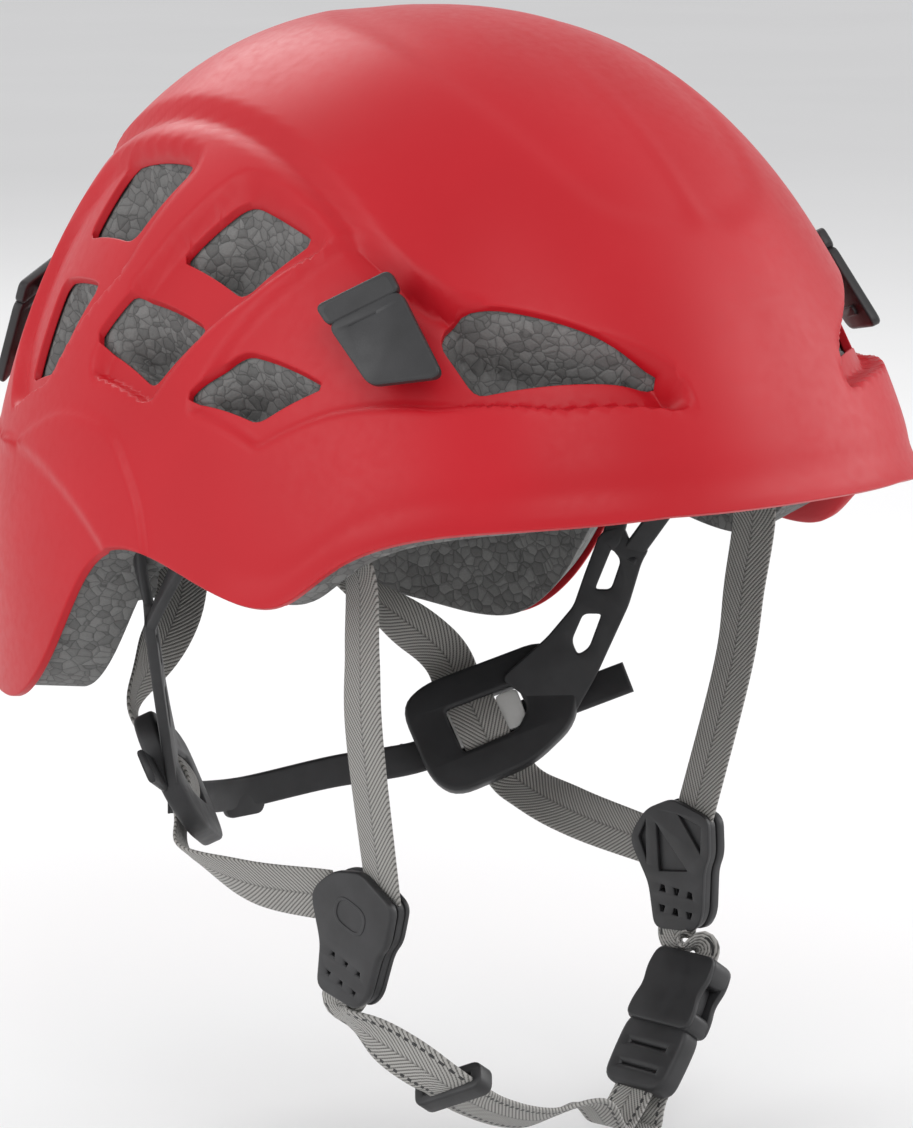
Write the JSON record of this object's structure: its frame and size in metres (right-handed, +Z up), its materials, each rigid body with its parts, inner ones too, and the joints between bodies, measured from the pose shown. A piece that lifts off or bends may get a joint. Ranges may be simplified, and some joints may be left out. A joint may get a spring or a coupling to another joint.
{
  "type": "climbing helmet",
  "caption": "Climbing helmet: vented hard shell over a foam liner, with headlamp clips, adjustable head cradle, webbing straps, dividers and a side-release buckle.",
  "frame": {"origin": "head mount: middle of the head in the sagittal plane, half way along the shell and level with the lowest edge at the temples", "axes": "+X towards the wearer's left, -Y towards the front, +Z up with the brim tilted up about ten degrees, as worn loosely"},
  "size_m": [0.2208, 0.2885, 0.3306],
  "materials": {
    "shell": "satin injection-moulded ABS",
    "bead_foam": "moulded bead foam",
    "crown_foam": "fine expanded foam",
    "pad_cloth": "brushed knit over soft foam",
    "clip_plastic": "satin nylon",
    "cradle_plastic": "soft satin moulding",
    "lock_plastic": "natural acetal",
    "webbing": "herringbone polyester webbing",
    "buckle_plastic": "satin acetal"
  },
  "bodies": {
    "helmet": {"outer_shell": "shell", "liner_side": "bead_foam", "liner_crown": "crown_foam", "brow_pad": "pad_cloth", "crown_pad": "pad_cloth", "nape_pad_left": "pad_cloth", "nape_pad_right": "pad_cloth", "clip_foot_front_left": "clip_plastic", "clip_foot_front_right": "clip_plastic", "clip_foot_rear_left": "clip_plastic", "clip_foot_rear_right": "clip_plastic", "cradle_left": "cradle_plastic", "cradle_right": "cradle_plastic", "nape_band": "cradle_plastic", "front_strap_left": "webbing", "front_strap_right": "webbing", "rear_strap_upper_left": "webbing", "rear_strap_upper_right": "webbing", "rear_strap_lower_left": "webbing", "rear_strap_lower_right": "webbing", "strap_pass_left": "webbing", "strap_pass_right": "webbing", "divider_body_left": "buckle_plastic", "divider_body_right": "buckle_plastic", "chin_strap_short": "webbing", "buckle_socket": "buckle_plastic"},
    "headlamp_clip_front_left": {"headlamp_clip_front_left": "clip_plastic"},
    "headlamp_clip_front_right": {"headlamp_clip_front_right": "clip_plastic"},
    "headlamp_clip_rear_left": {"headlamp_clip_rear_left": "clip_plastic"},
    "headlamp_clip_rear_right": {"headlamp_clip_rear_right": "clip_plastic"},
    "size_lock_left": {"size_lock_left": "lock_plastic"},
    "size_lock_right": {"size_lock_right": "lock_plastic"},
    "divider_cover_left": {"divider_cover_left": "buckle_plastic"},
    "divider_cover_right": {"divider_cover_right": "buckle_plastic"},
    "chin_side": {"chin_strap": "webbing", "chin_strap_tail": "webbing", "buckle_plug": "buckle_plastic"},
    "buckle_prong_front": {"buckle_prong_front": "buckle_plastic"},
    "buckle_prong_rear": {"buckle_prong_rear": "buckle_plastic"},
    "strap_keeper": {"strap_keeper": "buckle_plastic"}
  },
  "joints": [
    {"name": "clip_flex_front_left", "type": "hinge", "parent": "helmet", "child": "headlamp_clip_front_left", "pos_m": [0.08872, -0.06305, 0.08205], "axis": [-0.5172, -0.7269, 0.4517], "range_deg": [0, 14], "stiffness_Nm_per_rad": 0.05},
    {"name": "clip_flex_front_right", "type": "hinge", "parent": "helmet", "child": "headlamp_clip_front_right", "pos_m": [-0.08872, -0.06305, 0.08205], "axis": [-0.5172, 0.7269, -0.4517], "range_deg": [0, 14], "stiffness_Nm_per_rad": 0.05},
    {"name": "clip_flex_rear_left", "type": "hinge", "parent": "helmet", "child": "headlamp_clip_rear_left", "pos_m": [0.05285, 0.12691, 0.0675], "axis": [0.893, -0.3528, -0.2793], "range_deg": [0, 14], "stiffness_Nm_per_rad": 0.05},
    {"name": "clip_flex_rear_right", "type": "hinge", "parent": "helmet", "child": "headlamp_clip_rear_right", "pos_m": [-0.05285, 0.12691, 0.0675], "axis": [0.893, 0.3528, 0.2793], "range_deg": [0, 14], "stiffness_Nm_per_rad": 0.05},
    {"name": "lock_slide_left", "type": "slide", "parent": "helmet", "child": "size_lock_left", "axis": [0.732, -0.587, 0.346], "range_m": [0, 0.002]},
    {"name": "lock_slide_right", "type": "slide", "parent": "helmet", "child": "size_lock_right", "axis": [-0.732, -0.587, 0.346], "range_m": [0, 0.002]},
    {"name": "cover_open_left", "type": "hinge", "parent": "helmet", "child": "divider_cover_left", "pos_m": [0.0669, -0.03028, -0.11959], "axis": [0, 0.9994, 0.0349], "range_deg": [0, 40]},
    {"name": "cover_open_right", "type": "hinge", "parent": "helmet", "child": "divider_cover_right", "pos_m": [-0.0669, -0.02395, -0.11836], "axis": [0, -0.9397, -0.342], "range_deg": [0, 40]},
    {"name": "plug_slide", "type": "slide", "parent": "helmet", "child": "chin_side", "axis": [-0.5708, 0, -0.8211], "range_m": [0, 0.01]},
    {"name": "prong_squeeze_front", "type": "hinge", "parent": "chin_side", "child": "buckle_prong_front", "pos_m": [0.05149, -0.0449, -0.14474], "axis": [-0.8211, 0, 0.5708], "range_deg": [0, 6], "stiffness_Nm_per_rad": 0.05},
    {"name": "prong_squeeze_rear", "type": "hinge", "parent": "chin_side", "child": "buckle_prong_rear", "pos_m": [0.05149, -0.0311, -0.14474], "axis": [0.8211, 0, -0.5708], "range_deg": [0, 6], "stiffness_Nm_per_rad": 0.05},
    {"name": "keeper_slide", "type": "slide", "parent": "chin_side", "child": "strap_keeper", "axis": [0.8313, 0.0426, -0.5542], "range_m": [-0.002, 0.002]}
  ]
}
